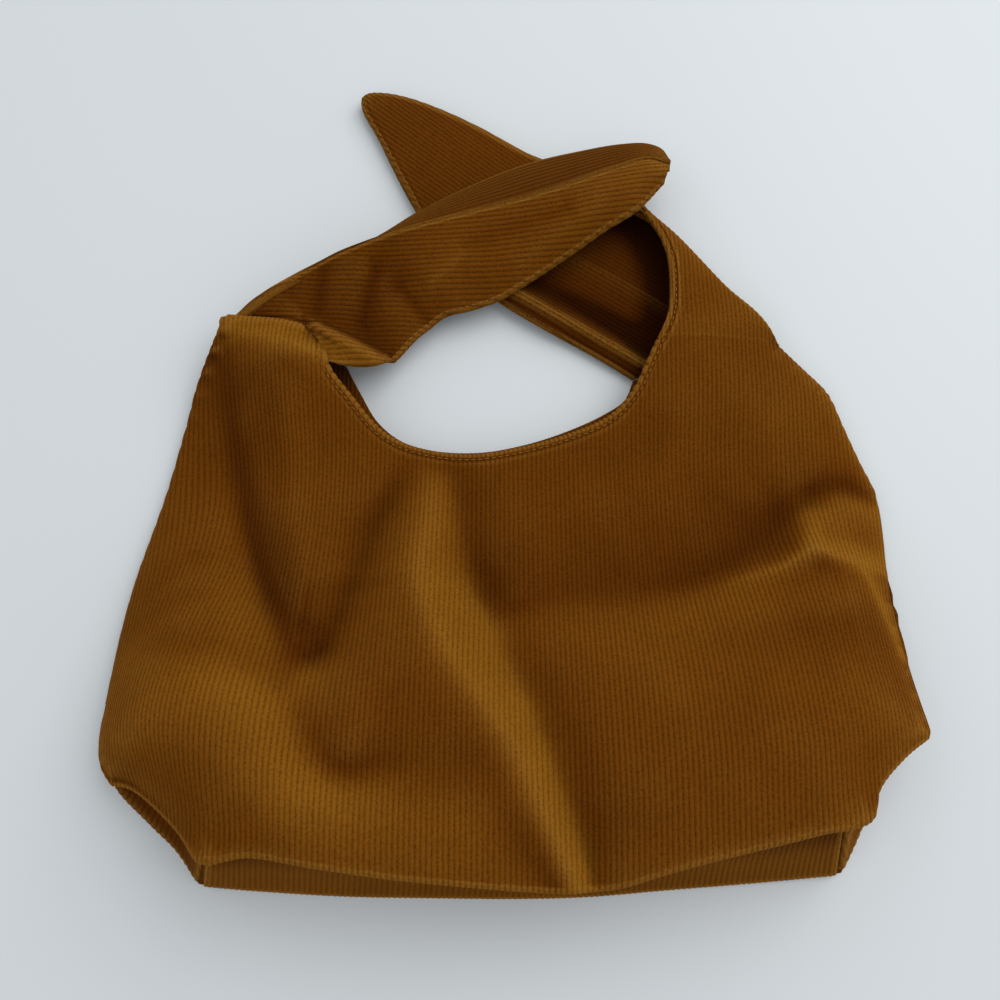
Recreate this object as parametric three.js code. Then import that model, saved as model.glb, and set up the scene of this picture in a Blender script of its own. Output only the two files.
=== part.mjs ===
// Slouchy corduroy shoulder bag with two tie straps, lying on its back.
// Every panel is a thin sheet of corduroy with a corduroy lining behind it.
// Millimetres, +Z up, +Y from the base towards the straps, origin under the middle of the bag.
import * as THREE from 'three';

// Cloth
const clothThickness = 1.3;
const layerGap = 0.3;
const baseClearance = 1;
const gussetClearance = 2.5;

// Body
const bagWidth = 368;
const baseLine = -205;
const baseHeight = 58;
const neckLift = 14;
const shoulderLift = 12;
const rollWidth = 45;
const rollPower = 2.2;
const gussetTuck = 11;
const foldScale = 1;

// Straps
const leftCrown = 4;
const rightCrown = 2;
const strapLift = 22;
const neckRise = 12;
const bandLift = 4;
const hingeLine = 55;

// Grid counts
const panelRows = 13;
const sideColumns = 6;
const middleColumns = 20;
const wallRows = 5;
const gussetColumns = 8;
const strapRows = 20;
const strapColumns = 4;

// Heights of the four stacked layers where the front lies on the back
const layer = clothThickness + layerGap;
const doubled = 2 * clothThickness + layerGap;
const seamHeight = doubled + layerGap + doubled;
const sideX = bagWidth / 2;

const place = (x, y, z = 0) => new THREE.Vector3(x, y, z);

// Smooth curve through chosen points, sampled at even lengths
function alongCurve(points, steps) {
  const curve = new THREE.CatmullRomCurve3(points, false, 'centripetal');
  return curve.getSpacedPoints(steps);
}

// Value read off a list of [position, value] marks
function readMarks(marks, position) {
  const last = marks.length - 1;
  if (position <= marks[0][0]) {
    return marks[0][1];
  }
  for (let i = 0; i < last; i += 1) {
    const [from, low] = marks[i];
    const [to, high] = marks[i + 1];
    if (position <= to) {
      return THREE.MathUtils.lerp(low, high, (position - from) / (to - from));
    }
  }
  return marks[last][1];
}

// Side seams, written as distance in from the widest point, distance up from the base line and lift
const leftSeam = [
  [10, 46, 8], [4, 53, 7], [1, 61, 6], [0, 78, 2], [2, 108, 0], [7, 138, 0], [18, 181, 0],
  [25, 214, 1], [34, 246, 6], [45, 266, 18],
].map(([inset, up, lift]) => place(-sideX + inset, baseLine + up, seamHeight + lift));

const rightSeam = [
  [0, 70, 24], [2, 90, 14], [3.5, 110, 7], [3.5, 130, 2], [2.5, 147, 0], [4, 183, 0], [9, 196, 0],
  [16, 216, 0], [23, 235, 0], [34, 247, 1], [46, 259, 2],
].map(([inset, up, lift]) => place(sideX - inset, baseLine + up, seamHeight + lift));

// Lower fold of the front panel: left gusset, base and right gusset stretches
const leftFold = [leftSeam[0]].concat([
  [20, 45, 0.36], [34, 38, 0.54], [49, 29, 0.74], [60, 20, 0.92], [66, 19, 0.97],
].map(([inset, up, share]) => place(-sideX + inset, baseLine + up, share * baseHeight)));
const rightFold = [
  [57, 32, 0.98], [44, 33, 0.96], [36, 36, 0.91], [31, 45, 0.83], [16, 58, 0.69],
].map(([inset, up, share]) => place(sideX - inset, baseLine + up, share * baseHeight))
  .concat([rightSeam[0]]);
const baseFold = [leftFold.at(-1)].concat([
  [-103, 22], [-75, 18], [-47, 14], [-18, 11], [5, 9], [31, 8], [44, 10], [62, 16], [80, 21], [97, 25],
].map(([x, up]) => place(x, baseLine + up)), [rightFold[0]]);

// Foot of the base and of both gussets, on the table
const leftFoot = [
  [1.5, 62], [3, 54], [7, 45], [24, 30], [37, 19], [48, 5],
].map(([inset, up]) => place(-sideX + inset, baseLine + up));
const baseFoot = [leftFoot.at(-1)].concat([
  [-111, 3], [-72, 1], [-33, 0.4], [6, 0], [36, 1], [70, 4], [111, 7], [sideX - 36, 10],
].map(([x, up]) => place(x, baseLine + up)));
const rightFoot = [baseFoot.at(-1)].concat([
  [26, 26], [16, 46], [8, 66], [4, 90], [4, 108],
].map(([inset, up]) => place(sideX - inset, baseLine + up)));

// Neck edges
const shoulderRidge = [leftSeam.at(-1), place(-107, 57), place(-91, 51)];
const frontNeck = [
  shoulderRidge.at(-1), place(-87, 36), place(-77, 23), place(-63, 7), place(-52, 0), place(-36, -4),
  place(-13, -5), place(9, 0), place(30, 7), place(49, 17), place(61, 28), place(69, 40),
  place(75, hingeLine - layerGap),
];
const rightHinge = [frontNeck.at(-1)].concat([106, 137].map((x) => place(x, hingeLine - layerGap)));
const backNeck = [
  place(34, hingeLine - layerGap), place(53, 44), place(64, 38), place(60, 28), place(49, 20),
  place(30, 11), place(9, 4), place(-13, 0), place(-36, 1), place(-52, 6), place(-64, 16),
  place(-73, 31), place(-81, 46),
];

// Height of the front panel along the bag, before its folds
const crownMarks = [
  [6, 0.92], [16, 0.98], [28, 1.01], [41, 0.97], [61, 0.86], [86, 0.69], [116, 0.5], [146, 0.38],
].map(([up, share]) => [baseLine + up, share * baseHeight])
  .concat([[-35, neckLift + 3], [-5, neckLift], [25, neckLift + 4], [70, neckLift + 8]]);

// Folds of the front panel: height, half width and the line each one follows
const folds = [
  { lift: -6, spread: 13, line: [[-132, 33], [-123, -27], [-110, -66], [-90, -103]] },
  { lift: -7, spread: 11, line: [[-88, -104], [-74, -94], [-62, -69], [-44, -30]] },
  { lift: 5, spread: 16, line: [[-93, -10], [-95, -58]] },
  { lift: 7, spread: 15, line: [[-37, -12], [-37, -44], [-33, -80]] },
  { lift: 6, spread: 12, line: [[-16, -87], [1, -119], [14, -145], [21, -162], [29, -193]] },
  { lift: -5, spread: 12, line: [[22, -105], [33, -145], [42, -166], [46, -190]] },
  { lift: -10, spread: 19, line: [[-82, -150], [-60, -155]] },
  { lift: 4, spread: 12, line: [[-149, -118], [-99, -136], [-80, -168], [-35, -166]] },
  { lift: -5, spread: 14, line: [[36, -56], [73, -54], [102, -52], [124, -48], [146, -34]] },
  { lift: 3, spread: 12, line: [[34, -82], [73, -80], [110, -78], [150, -66]] },
  { lift: shoulderLift, spread: 15, line: [[-136, 62], [-107, 57], [-90, 52]] },
].map((fold) => ({ ...fold, line: fold.line.map(([x, y]) => place(x, y)) }));

// Nearest place on a line in plan: how far away it is, and how high the line is there
function nearestOn(line, x, y) {
  const from = place(x, y);
  let away = Infinity;
  let height = 0;
  for (let i = 0; i + 1 < line.length; i += 1) {
    const flat = new THREE.Line3(line[i].clone().setZ(0), line[i + 1].clone().setZ(0));
    const t = flat.closestPointToPointParameter(from, true);
    const distance = flat.at(t, new THREE.Vector3()).distanceTo(from);
    if (distance < away) {
      away = distance;
      height = THREE.MathUtils.lerp(line[i].z, line[i + 1].z, t);
    }
  }
  return { away, height };
}

function foldHeight(x, y) {
  let sum = 0;
  for (const { lift, spread, line } of folds) {
    const away = nearestOn(line, x, y).away / spread;
    sum += foldScale * lift * Math.exp(-away * away);
  }
  return sum;
}

// Share of the full height at a distance inside the side seam
function roll(inside) {
  const t = THREE.MathUtils.clamp(inside / rollWidth, 0, 1);
  return 1 - (1 - t) ** rollPower;
}

// Top surface of the front panel, from its seams up to its crown, with the folds on it
const leftEdge = [...leftSeam].reverse().concat(leftFold.slice(1));
const rightEdge = rightFold.concat(rightSeam.slice(1));
function frontHeight(x, y) {
  const left = nearestOn(leftEdge, x, y);
  const right = nearestOn(rightEdge, x, y);
  const rim = left.away < right.away ? left : right;
  const crown = readMarks(crownMarks, y) + foldHeight(x, y);
  const height = rim.height + (crown - rim.height) * roll(rim.away);
  return Math.max(height, seamHeight);
}

// Four-sided patch between its bottom, top, left and right edges, as rows of points
function patch(bottom, top, left, right) {
  const rows = left.length - 1;
  const columns = bottom.length - 1;
  return left.map((_, i) => bottom.map((_point, j) => {
    const v = i / rows;
    const u = j / columns;
    const straight = bottom[j].clone().lerp(top[j], v);
    const leftLine = bottom[0].clone().lerp(top[0], v);
    const rightLine = bottom[columns].clone().lerp(top[columns], v);
    const leftBend = left[i].clone().sub(leftLine).multiplyScalar(1 - u);
    const rightBend = right[i].clone().sub(rightLine).multiplyScalar(u);
    return straight.add(leftBend).add(rightBend);
  }));
}

// Closed sheet between a grid of points and the same grid moved by an offset
function sheet(grid, offset) {
  const rows = grid.length;
  const columns = grid[0].length;
  const outer = grid.flat();
  const inner = outer.map((point) => point.clone().add(offset));
  const positions = outer.concat(inner).flatMap((point) => point.toArray());
  const count = rows * columns;
  const faces = [];
  const quad = (a, b, c, d) => faces.push(a, b, c, a, c, d);
  for (let i = 0; i + 1 < rows; i += 1) {
    for (let j = 0; j + 1 < columns; j += 1) {
      const a = i * columns + j;
      quad(a, a + 1, a + 1 + columns, a + columns);
      quad(count + a, count + a + columns, count + a + 1 + columns, count + a + 1);
    }
  }
  const rim = [];
  for (let j = 0; j < columns; j += 1) {
    rim.push(j);
  }
  for (let i = 1; i < rows; i += 1) {
    rim.push(i * columns + columns - 1);
  }
  for (let j = columns - 2; j >= 0; j -= 1) {
    rim.push((rows - 1) * columns + j);
  }
  for (let i = rows - 2; i > 0; i -= 1) {
    rim.push(i * columns);
  }
  rim.forEach((a, k) => {
    const b = rim[(k + 1) % rim.length];
    quad(b, a, count + a, count + b);
  });
  const geometry = new THREE.BufferGeometry();
  geometry.setAttribute('position', new THREE.Float32BufferAttribute(positions, 3));
  geometry.setIndex(faces);
  return geometry;
}

const corduroy = new THREE.Color('#6b3f0e');
const liningBrown = new THREE.Color('#5a330b');
const bag = new THREE.Group();

function addPiece(name, geometry) {
  geometry.computeVertexNormals();
  const color = name.includes('lining') ? liningBrown : corduroy;
  const finish = new THREE.MeshStandardMaterial({ color, roughness: 0.95, metalness: 0 });
  const mesh = new THREE.Mesh(geometry, finish);
  mesh.name = name;
  bag.add(mesh);
}

// Two layers of cloth, the second behind the first
function addPair(firstName, secondName, grid, inward) {
  const thickness = inward.clone().multiplyScalar(clothThickness);
  const step = inward.clone().multiplyScalar(layer);
  addPiece(firstName, sheet(grid, thickness));
  const behind = grid.map((row) => row.map((point) => point.clone().add(step)));
  addPiece(secondName, sheet(behind, thickness));
}

// Front panel
const foldRow = [
  ...alongCurve(leftFold, sideColumns),
  ...alongCurve(baseFold, middleColumns).slice(1),
  ...alongCurve(rightFold, sideColumns).slice(1),
];
const neckRow = [
  ...alongCurve(shoulderRidge, sideColumns),
  ...alongCurve(frontNeck, middleColumns).slice(1),
  ...alongCurve(rightHinge, sideColumns).slice(1),
];
const frontGrid = patch(
  foldRow, neckRow, alongCurve(leftSeam, panelRows), alongCurve(rightSeam, panelRows),
);
frontGrid.flat().forEach((point) => {
  point.z = frontHeight(point.x, point.y);
});
const down = place(0, 0, -1);
addPair('outer_front_panel', 'lining_front_panel', frontGrid, down);

// Back panel, flat on the table
function backGeometry() {
  const outline = [
    ...alongCurve(leftSeam.slice(3), panelRows).reverse(),
    ...alongCurve(leftFoot, wallRows),
    ...alongCurve(baseFoot, middleColumns / 2).slice(1),
    ...alongCurve(rightFoot, wallRows).slice(1),
    ...alongCurve(rightSeam.slice(3), panelRows),
    ...alongCurve(backNeck, middleColumns),
  ];
  const shape = new THREE.Shape(outline.map((point) => new THREE.Vector2(point.x, point.y)));
  return new THREE.ExtrudeGeometry(shape, { depth: clothThickness, bevelEnabled: false });
}
addPiece('outer_back_panel', backGeometry());
addPiece('lining_back_panel', backGeometry().translate(0, 0, layer));

// Standing wall from the foot on the back panel up to the front panel's lower fold
function wallGrid(foot, fold, clearance, tuck, inward) {
  const columns = foot.length - 1;
  const grid = [];
  for (let i = 0; i <= wallRows; i += 1) {
    const v = i / wallRows;
    grid.push(foot.map((low, j) => {
      const top = fold[j].clone();
      top.z = frontHeight(top.x, top.y) - doubled - clearance;
      const bottom = low.clone();
      bottom.z = doubled + layerGap;
      const hollow = tuck * Math.sin(Math.PI * v) * Math.sin((Math.PI * j) / columns);
      return bottom.lerp(top, v).addScaledVector(inward, hollow);
    }));
  }
  return grid;
}

const intoBag = place(0, 1, 0);
const baseFootRow = alongCurve(baseFoot, middleColumns);
const baseFoldRow = alongCurve(baseFold, middleColumns);
const baseGrid = wallGrid(baseFootRow, baseFoldRow, baseClearance, 0, intoBag);
addPair('outer_base', 'lining_base', baseGrid, intoBag);

// Side gussets, folded in towards the bag
function addGusset(side, foot, fold, inward) {
  const grid = wallGrid(foot, fold, gussetClearance, gussetTuck, inward);
  addPair(`outer_${side}_gusset`, `lining_${side}_gusset`, grid, inward);
}
const stepsAlong = 24;
const seamGap = 1;
const pick = (points, from, to) => {
  const fine = alongCurve(points, stepsAlong);
  return Array.from({ length: gussetColumns + 1 }, (_, j) => (
    fine[Math.round(THREE.MathUtils.lerp(from, to, j / gussetColumns))].clone()
  ));
};
const leftTopEdge = leftSeam.slice(0, 3).reverse().concat(leftFold.slice(1));
const leftInward = place(1, 1, 0).normalize();
const leftPick = (points) => pick(points, 0, stepsAlong - seamGap);
addGusset('left', leftPick(leftFoot), leftPick(leftTopEdge), leftInward);
const rightTopEdge = rightFold.concat(rightSeam.slice(1, 3));
const rightInward = place(-1, 0.55, 0).normalize();
const rightPick = (points) => pick(points, seamGap, stepsAlong);
addGusset('right', rightPick(rightFoot), rightPick(rightTopEdge), rightInward);

// Half of a strap between two edges, arched between them
function strapGrid(edge, seam, crown) {
  const first = alongCurve(edge, strapRows);
  const second = alongCurve(seam, strapRows);
  return first.map((from, i) => {
    const row = [];
    for (let j = 0; j <= strapColumns; j += 1) {
      const w = j / strapColumns;
      const point = from.clone().lerp(second[i], w);
      point.z = Math.max(point.z + crown * 4 * w * (1 - w), doubled);
      row.push(point);
    }
    return row;
  });
}

const under = place(0, 0, -doubled - layerGap);
const below = (points) => points.map((point) => point.clone().add(under));

// Left strap, folded over at the shoulder and lying across the right one
const leftLow = [
  [-86, 46, 22], [-72, 39, 20], [-60, 39, 17], [-52, 47, 15], [-42, 58, 14], [-31, 67, 14],
  [-19, 70, 15], [-5, 75, 15], [9, 83, 16], [32, 98, 19], [50, 110, 23], [67, 121, 27], [82, 138, 29],
].map(([x, y, z]) => place(x, y, z));
const leftTop = [
  [-135, 66, 4], [-112, 79, 8], [-81, 93, 11], [-54, 103, 13], [-25, 111, 14], [8, 120, 15],
  [31, 128, 15], [54, 138, 14], [72, 147, 11], [84, 145, 9],
].map(([x, y, rise]) => place(x, y, strapLift + rise));
const leftFar = [
  [-118, 69, 7], [-95, 86, 9], [-75, 101, 14], [-50, 122, 16], [-20, 141, 14], [11, 155, 14],
  [38, 161, 16], [60, 162, 20], [76, 158, 25], [83, 151, 27],
].map(([x, y, z]) => place(x, y, z));
const leftFrontGrid = strapGrid(leftTop, leftLow, leftCrown);
addPair('left_strap_front_half', 'left_strap_front_lining', leftFrontGrid, down);
const leftBackGrid = strapGrid(leftFar, below(leftTop), 0);
addPair('left_strap_back_half', 'left_strap_back_lining', leftBackGrid, down);

// Right strap, running on from the right shoulder to its tail under the left one
const rootY = hingeLine + layerGap;
const rightNeck = [
  [75.5, rootY, 0.95], [80, 66, 1], [82, 82, 1.15], [81, 98, 1.25], [76, 113, 1.2], [68, 125, 1.05],
  [50, 134, 0.66], [10, 136, 0.3], [-30, 136, 0.12], [-50, 141, 0.06], [-62, 163, 0.03],
  [-72, 184, 0.01], [-78, 194, 0],
].map(([x, y, share]) => place(x, y, seamHeight + share * neckRise));
const rightOut = [
  [137, rootY, 2], [126, 70, 2], [107, 92, 2], [92, 110, 2], [80, 124, 2], [70, 136, 1.5],
  [48, 151, 1], [15, 165, 0.5], [-12, 182, 0.4], [-32, 193, 0.3], [-52, 201.5, 0.2], [-66, 205.4, 0.1],
  [-76, 203, 0],
].map(([x, y, lift]) => place(x, y, seamHeight + lift));
const rightBack = [
  [35, rootY, 0.5], [17, 65, 1], [-4, 79, 1], [-20, 95, 0.5], [-35, 115, 0.1], [-49, 136, 0],
  [-61, 160, 0], [-72, 184, 0], [-78, 194, 0],
].map(([x, y, share]) => place(x, y, doubled + share * bandLift));
const rightUnder = [
  [137, rootY], [118, 80], [100, 101], [84, 119], [60, 143], [20, 162], [-20, 186], [-52, 201],
  [-76, 203],
].map(([x, y]) => place(x, y, doubled));
const rightFrontGrid = strapGrid(rightNeck, rightOut, rightCrown);
addPair('right_strap_front_half', 'right_strap_front_lining', rightFrontGrid, down);

// Its back half lies face down, with the lining on top
const rightBackGrid = strapGrid(rightBack, rightUnder, 0);
addPair('right_strap_back_lining', 'right_strap_back_half', rightBackGrid, down);

export default bag;
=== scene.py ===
import math

import bpy
import numpy as np
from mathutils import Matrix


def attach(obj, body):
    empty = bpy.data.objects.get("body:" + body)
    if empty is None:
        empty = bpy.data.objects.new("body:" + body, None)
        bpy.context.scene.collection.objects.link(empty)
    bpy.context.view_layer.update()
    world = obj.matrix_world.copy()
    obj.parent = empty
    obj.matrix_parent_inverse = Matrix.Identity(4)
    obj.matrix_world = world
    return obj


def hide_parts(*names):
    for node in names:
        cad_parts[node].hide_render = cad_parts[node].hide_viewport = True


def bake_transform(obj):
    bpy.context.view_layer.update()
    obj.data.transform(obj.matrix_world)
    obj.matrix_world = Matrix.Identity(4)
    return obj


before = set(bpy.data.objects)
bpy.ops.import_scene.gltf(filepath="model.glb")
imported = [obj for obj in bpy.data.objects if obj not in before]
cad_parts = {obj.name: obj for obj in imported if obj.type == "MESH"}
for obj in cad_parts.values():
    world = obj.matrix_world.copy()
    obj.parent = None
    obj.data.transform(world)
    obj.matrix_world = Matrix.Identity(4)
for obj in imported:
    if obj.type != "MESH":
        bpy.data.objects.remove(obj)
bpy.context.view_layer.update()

# Table top, light and camera: a plain pale board that the bag lies on, a large soft window light
# beyond the straps, and a camera held above the base, looking almost straight down.
MM = 0.001
table_half = 2.5
table_drop = -0.2 * MM
table_colour = (0.64, 0.67, 0.675, 1)
table_roughness = 0.6
camera_place = (-3 * MM, -149 * MM, 465 * MM)
camera_tilt = math.radians(15)
camera_lens = 35.3
camera_clip = 0.01
sky_colour = (0.93, 0.96, 1.0, 1)
sky_strength = 0.75
window_place = (1.0, 0.75, 1.4)
window_size = 1.8
window_power = 20

scene = bpy.context.scene
scene.view_settings.view_transform = "Standard"


def plain_material(name, colour, roughness):
    material = bpy.data.materials.new(name)
    material.use_nodes = True
    surface = material.node_tree.nodes["Principled BSDF"]
    surface.inputs["Base Color"].default_value = colour
    surface.inputs["Roughness"].default_value = roughness
    return material


corners = [(-1, -1), (1, -1), (1, 1), (-1, 1)]
table_points = [(x * table_half, y * table_half, table_drop) for x, y in corners]
table_mesh = bpy.data.meshes.new("table_top")
table_mesh.from_pydata(table_points, [], [(0, 1, 2, 3)])
table_mesh.materials.append(plain_material("table_paint", table_colour, table_roughness))
table_top = bpy.data.objects.new("table_top", table_mesh)
scene.collection.objects.link(table_top)

camera = bpy.data.objects.new("camera", bpy.data.cameras.new("camera"))
camera.data.lens = camera_lens
camera.data.clip_start = camera_clip
camera.location = camera_place
camera.rotation_euler = (camera_tilt, 0, 0)
scene.collection.objects.link(camera)
scene.camera = camera

window = bpy.data.objects.new("window_light", bpy.data.lights.new("window_light", "AREA"))
window.data.size = window_size
window.data.energy = window_power
window.location = window_place
window.rotation_euler = window.location.to_track_quat("Z", "Y").to_euler()
scene.collection.objects.link(window)

sky = bpy.data.worlds.new("soft_room")
sky.use_nodes = True
sky.node_tree.nodes["Background"].inputs["Color"].default_value = sky_colour
sky.node_tree.nodes["Background"].inputs["Strength"].default_value = sky_strength
scene.world = sky

# Back panel and its lining: one flat cut of golden brown corduroy each, eleven ribs to the inch, laid
# on the table under the whole bag and drawn up at the left shoulder, with a deep scoop for the neck.
# Like every cloth piece they are thin closed sheets, with the ribs in the mesh of the upper face.
wale_pitch = 2.214
rib_steps = 4
rib_height = 0.34
rib_power = 0.5
cloth_thickness = 1.3
bend_reach = 6
pile_scale = 900
pile_relief = 0.35
patch_scale = 38
crest_power = 0.8
crest_share = 0.65
fuzz_share = 1.8
fuzz_start = -0.6
patch_share = 0.36
patch_start = 0.82
crease_shade = 0.4
# How much the painted light and shade lightens or darkens the cloth, and how it shifts the tint.
lean_shade = 0.6
lean_tints = (("Red", 0), ("Green", 0.26), ("Blue", 0.5))
# Share of the lighter colour on bulges, partly worn pile and partly a painted highlight.
rub_highlight_share = 0.55
crest_relief = 0.5
fuzz_relief = 0.6
worn_highlight_pile = (0.26, 0.115, 0.016, 1)
outer_crest = (0.144, 0.0445, 0.0027, 1)
outer_furrow = (0.057, 0.0148, 0.001, 1)
lining_crest = (0.12, 0.036, 0.0022, 1)
lining_furrow = (0.048, 0.0125, 0.0009, 1)
sheen_colour = (0.85, 0.4, 0.05, 1)


def rib_profile(wale):
    """One on the crest of a rib and nought in the furrow, for a count of ribs."""
    return np.abs(np.cos(np.pi * wale)) ** rib_power


def add_mesh(name, points, faces, material, smooth, **values):
    """Object at the origin from points in millimetres, with values for its material at each point."""
    mesh = bpy.data.meshes.new(name)
    mesh.from_pydata((np.asarray(points) * MM).tolist(), [], faces)
    mesh.polygons.foreach_set("use_smooth", smooth)
    for key, value in values.items():
        layer = mesh.attributes.new(key, "FLOAT", "POINT")
        layer.data.foreach_set("value", np.asarray(value, np.float32))
    mesh.materials.append(material)
    mesh.update()
    piece = bpy.data.objects.new(name, mesh)
    scene.collection.objects.link(piece)
    return piece


def face_normals(face):
    normal = np.cross(np.gradient(face, axis=1), np.gradient(face, axis=0))
    return normal / np.maximum(np.linalg.norm(normal, axis=2, keepdims=True), 1e-9)


def face_bend(face, normal):
    """How much a face bulges at each point, from minus one in a crease to one on a sharp fold."""
    bend = np.zeros(face.shape[:2])
    for axis in (0, 1):
        along = np.gradient(face, axis=axis)
        turn = np.gradient(normal, axis=axis)
        bend += (along * turn).sum(axis=2) / np.maximum((along ** 2).sum(axis=2), 1e-3)
    return np.clip(bend * bend_reach, -1, 1)


def quads(*corners):
    """Faces of four points each, from four grids of point numbers."""
    return np.stack(corners, axis=2).reshape(-1, 4).tolist()


def add_cloth(
    name, face, wale, material, thickness=cloth_thickness, skip=(4, 4), lean=0, ribs=rib_height, bend=None
):
    """Closed sheet under a face of points, with fewer points on its under side."""
    rows, columns = wale.shape
    normal = face_normals(face)
    ribbed = face + normal * (ribs * (rib_profile(wale) - 1))[..., None]
    under = (face - normal * thickness)[::skip[0], ::skip[1]]
    top = np.arange(rows * columns).reshape(rows, columns)
    low = top.size + np.arange(under.shape[0] * under.shape[1]).reshape(under.shape[:2])
    faces = quads(top[:-1, :-1], top[:-1, 1:], top[1:, 1:], top[1:, :-1])
    faces += quads(low[:-1, :-1], low[1:, :-1], low[1:, 1:], low[:-1, 1:])
    smooth = [True] * len(faces)
    edges = (
        (top[0], low[0], skip[1]),
        (top[:, -1], low[:, -1], skip[0]),
        (top[-1, ::-1], low[-1, ::-1], skip[1]),
        (top[::-1, 0], low[::-1, 0], skip[0]),
    )
    for fine, coarse, step in edges:
        for k in range(len(coarse) - 1):
            stretch = fine[k * step:(k + 1) * step + 1][::-1].tolist()
            faces.append(stretch + [int(coarse[k]), int(coarse[k + 1])])
    smooth += [False] * (len(faces) - len(smooth))
    points = np.concatenate([ribbed.reshape(-1, 3), under.reshape(-1, 3)])
    counts = np.concatenate([wale.ravel(), wale[::skip[0], ::skip[1]].ravel()])
    bend = face_bend(face, normal) if bend is None else bend
    plain = np.zeros(len(points) - top.size)
    bend = np.concatenate([bend.ravel(), plain])
    # Each point carries painted light and shade for the material: lighter above nought, darker below it.
    shading_paint = np.concatenate([np.broadcast_to(lean, wale.shape).ravel(), plain])
    return add_mesh(name, points, faces, material, smooth, wale=counts, bend=bend, lean=shading_paint)


def corduroy_ribs():
    """Node group: colour and height of ribbed pile from the count of ribs on the mesh, with painted shade
    in creases, painted light and shade from a value on each point, and a lighter colour on bulges, partly
    worn pile and partly a painted highlight.
    """
    group = bpy.data.node_groups.new("corduroy_ribs", "ShaderNodeTree")
    for name in ("Crest", "Furrow", "Worn_Highlight"):
        group.interface.new_socket(name, in_out="INPUT", socket_type="NodeSocketColor")
    for name, kind in (("Color", "Color"), ("Height", "Float")):
        group.interface.new_socket(name, in_out="OUTPUT", socket_type="NodeSocket" + kind)
    nodes, link = group.nodes, group.links.new
    given = nodes.new("NodeGroupInput")
    result = nodes.new("NodeGroupOutput")

    def feed(socket, value):
        if isinstance(value, (int, float)):
            socket.default_value = value
        else:
            link(value, socket)

    def maths(operation, *values):
        node = nodes.new("ShaderNodeMath")
        node.operation = operation
        for socket, value in zip(node.inputs, values):
            feed(socket, value)
        return node.outputs[0]

    def mix(factor, first, second, blend="MIX"):
        node = nodes.new("ShaderNodeMix")
        node.data_type = "RGBA"
        node.blend_type = blend
        for name, value in (("Factor", factor), ("A", first), ("B", second)):
            feed(node.inputs[name], value)
        return node.outputs["Result"]

    def noise(scale, detail):
        node = nodes.new("ShaderNodeTexNoise")
        node.inputs["Detail"].default_value = detail
        node.inputs["Roughness"].default_value = 0.6
        node.inputs["Scale"].default_value = scale
        link(place.outputs["Object"], node.inputs["Vector"])
        return node.outputs[0]

    def point_value(name):
        node = nodes.new("ShaderNodeAttribute")
        node.attribute_name = name
        return node.outputs["Fac"]

    place = nodes.new("ShaderNodeTexCoord")
    bend = point_value("bend")
    shading_paint = point_value("lean")
    turn = maths("MULTIPLY", point_value("wale"), math.pi)
    crest = maths("POWER", maths("ABSOLUTE", maths("COSINE", turn)), crest_power)
    pile = noise(pile_scale, 4)
    patches = noise(patch_scale, 3)
    fuzz = maths("ADD", maths("MULTIPLY", pile, fuzz_share), fuzz_start)
    shade = maths("ADD", maths("MULTIPLY", crest, crest_share), fuzz)
    ribs = mix(shade, given.outputs["Furrow"], given.outputs["Crest"])
    # Painted shade: creases are darkened.
    crease = maths("MULTIPLY", maths("MINIMUM", bend, 0.0), crease_shade)
    # Painted light and shade: lighter or darker from the value on each point, yellower where lighter and
    # redder where darker.
    lean = maths("ADD", maths("MULTIPLY", shading_paint, lean_shade), 1)
    even = maths("ADD", maths("MULTIPLY", patches, patch_share), patch_start)
    level = maths("MULTIPLY", maths("ADD", even, crease), lean)
    grey = nodes.new("ShaderNodeCombineColor")
    for name, warmth in lean_tints:
        tint = maths("ADD", maths("MULTIPLY", shading_paint, warmth), 1)
        link(maths("MULTIPLY", level, tint), grey.inputs[name])
    ribs_with_painted_shade = mix(1, ribs, grey.outputs["Color"], "MULTIPLY")
    # A lighter colour on bulges and sharp folds: partly worn pile, partly a painted highlight.
    bulge = maths("MAXIMUM", bend, 0.0)
    rubbed_highlight = maths("MULTIPLY", maths("MULTIPLY", bulge, shade), rub_highlight_share)
    link(mix(rubbed_highlight, ribs_with_painted_shade, given.outputs["Worn_Highlight"]), result.inputs["Color"])
    relief = maths("ADD", maths("MULTIPLY", crest, crest_relief), maths("MULTIPLY", pile, fuzz_relief))
    link(relief, result.inputs["Height"])
    return group


ribbed_pile = corduroy_ribs()


def corduroy(name, crest, furrow, worn_highlight):
    """Corduroy material with a soft sheen along its edges."""
    material = bpy.data.materials.new(name)
    material.use_nodes = True
    nodes, link = material.node_tree.nodes, material.node_tree.links.new
    surface = nodes["Principled BSDF"]
    surface.inputs["Roughness"].default_value = 0.95
    surface.inputs["Specular IOR Level"].default_value = 0.02
    surface.inputs["Sheen Weight"].default_value = 0.22
    surface.inputs["Sheen Roughness"].default_value = 0.4
    surface.inputs["Sheen Tint"].default_value = sheen_colour
    pile = nodes.new("ShaderNodeGroup")
    pile.node_tree = ribbed_pile
    pile.inputs["Crest"].default_value = crest
    pile.inputs["Furrow"].default_value = furrow
    pile.inputs["Worn_Highlight"].default_value = worn_highlight
    bump = nodes.new("ShaderNodeBump")
    bump.inputs["Distance"].default_value = pile_relief * MM
    bump.inputs["Strength"].default_value = 0.7
    link(pile.outputs["Height"], bump.inputs["Height"])
    link(bump.outputs["Normal"], surface.inputs["Normal"])
    link(pile.outputs["Color"], surface.inputs["Base Color"])
    return material


outer_cloth = corduroy("golden_brown_corduroy", outer_crest, outer_furrow, worn_highlight_pile)
lining_cloth = corduroy("lining_corduroy", lining_crest, lining_furrow, worn_highlight_pile)


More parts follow.
